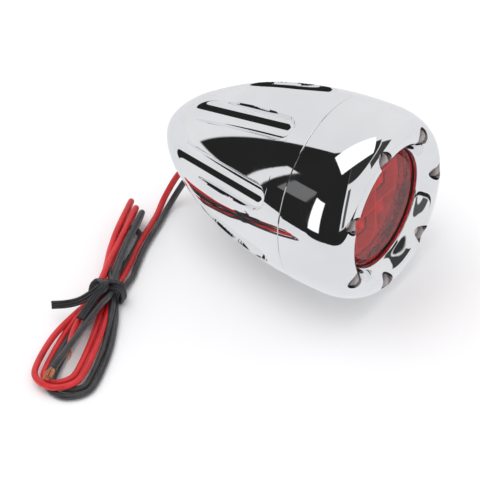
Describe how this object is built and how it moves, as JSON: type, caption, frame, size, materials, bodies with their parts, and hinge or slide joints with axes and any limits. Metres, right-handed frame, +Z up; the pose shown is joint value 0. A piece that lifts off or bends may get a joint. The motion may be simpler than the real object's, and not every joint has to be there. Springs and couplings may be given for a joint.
{
  "type": "motorcycle tail light",
  "caption": "Chromed bullet-shaped motorcycle tail light with fluted shell, screw-on ring, red lens, small marker LEDs and two leads folded in a tied hank.",
  "frame": {"origin": "centre of the mouth of the threaded mounting hole, in the flat pad under the shell", "axes": "+Z up from the mounting face, the lens looks along -Y, the shell's tip points along +Y, and the light's axis is 19 mm above the face"},
  "size_m": [0.1118, 0.083, 0.0541],
  "materials": {
    "chrome": "mirror plating on machined aluminium",
    "red_lens": "glossy transparent red acrylic",
    "clear_led": "clear epoxy",
    "cluster_led": "red LED packages",
    "black_rubber": "matt",
    "black_plastic": "fine texture",
    "white_plastic": "moulded nylon",
    "board": "solder mask",
    "red_insulation": "soft PVC",
    "black_insulation": "soft PVC",
    "copper": "tinned and bare strands",
    "brass": "plated",
    "steel": "zinc plated",
    "silver_ring": "turned"
  },
  "bodies": {
    "shell": {"tail_shell": "chrome", "wire_grommet": "black_rubber", "red_wire": "red_insulation", "black_wire": "black_insulation", "wire_hank": "red_insulation", "hank_tie": "black_plastic", "red_wire_end": "copper", "black_wire_end": "copper", "inner_red_lead": "red_insulation", "inner_black_lead": "black_insulation", "contact_block": "white_plastic", "contact_pins": "brass", "block_screws": "steel"},
    "gasket": {"seam_gasket": "black_rubber"},
    "ring": {"front_ring": "chrome", "lens": "red_lens", "lens_seal": "black_rubber", "retaining_ring": "silver_ring", "led_board": "board", "contact_rings": "brass", "cluster_leds": "cluster_led", "cluster_reflector": "white_plastic", "marker_leds": "clear_led", "marker_pins": "steel", "marker_bushes": "black_plastic", "board_spacers": "brass", "board_screws": "steel", "resistors": "black_plastic"}
  },
  "joints": [
    {"name": "ring_advance", "type": "slide", "parent": "shell", "child": "gasket", "axis": [0, -1, 0], "range_m": [0, 0.006]},
    {"name": "ring_turn", "type": "hinge", "parent": "gasket", "child": "ring", "pos_m": [0, -0.04, 0.019], "axis": [0, -1, 0], "range_deg": [0, 1440]}
  ],
  "couplings": [
    {"joint": "ring_advance", "follows": "ring_turn", "m_per_rad": 0.00023873}
  ]
}
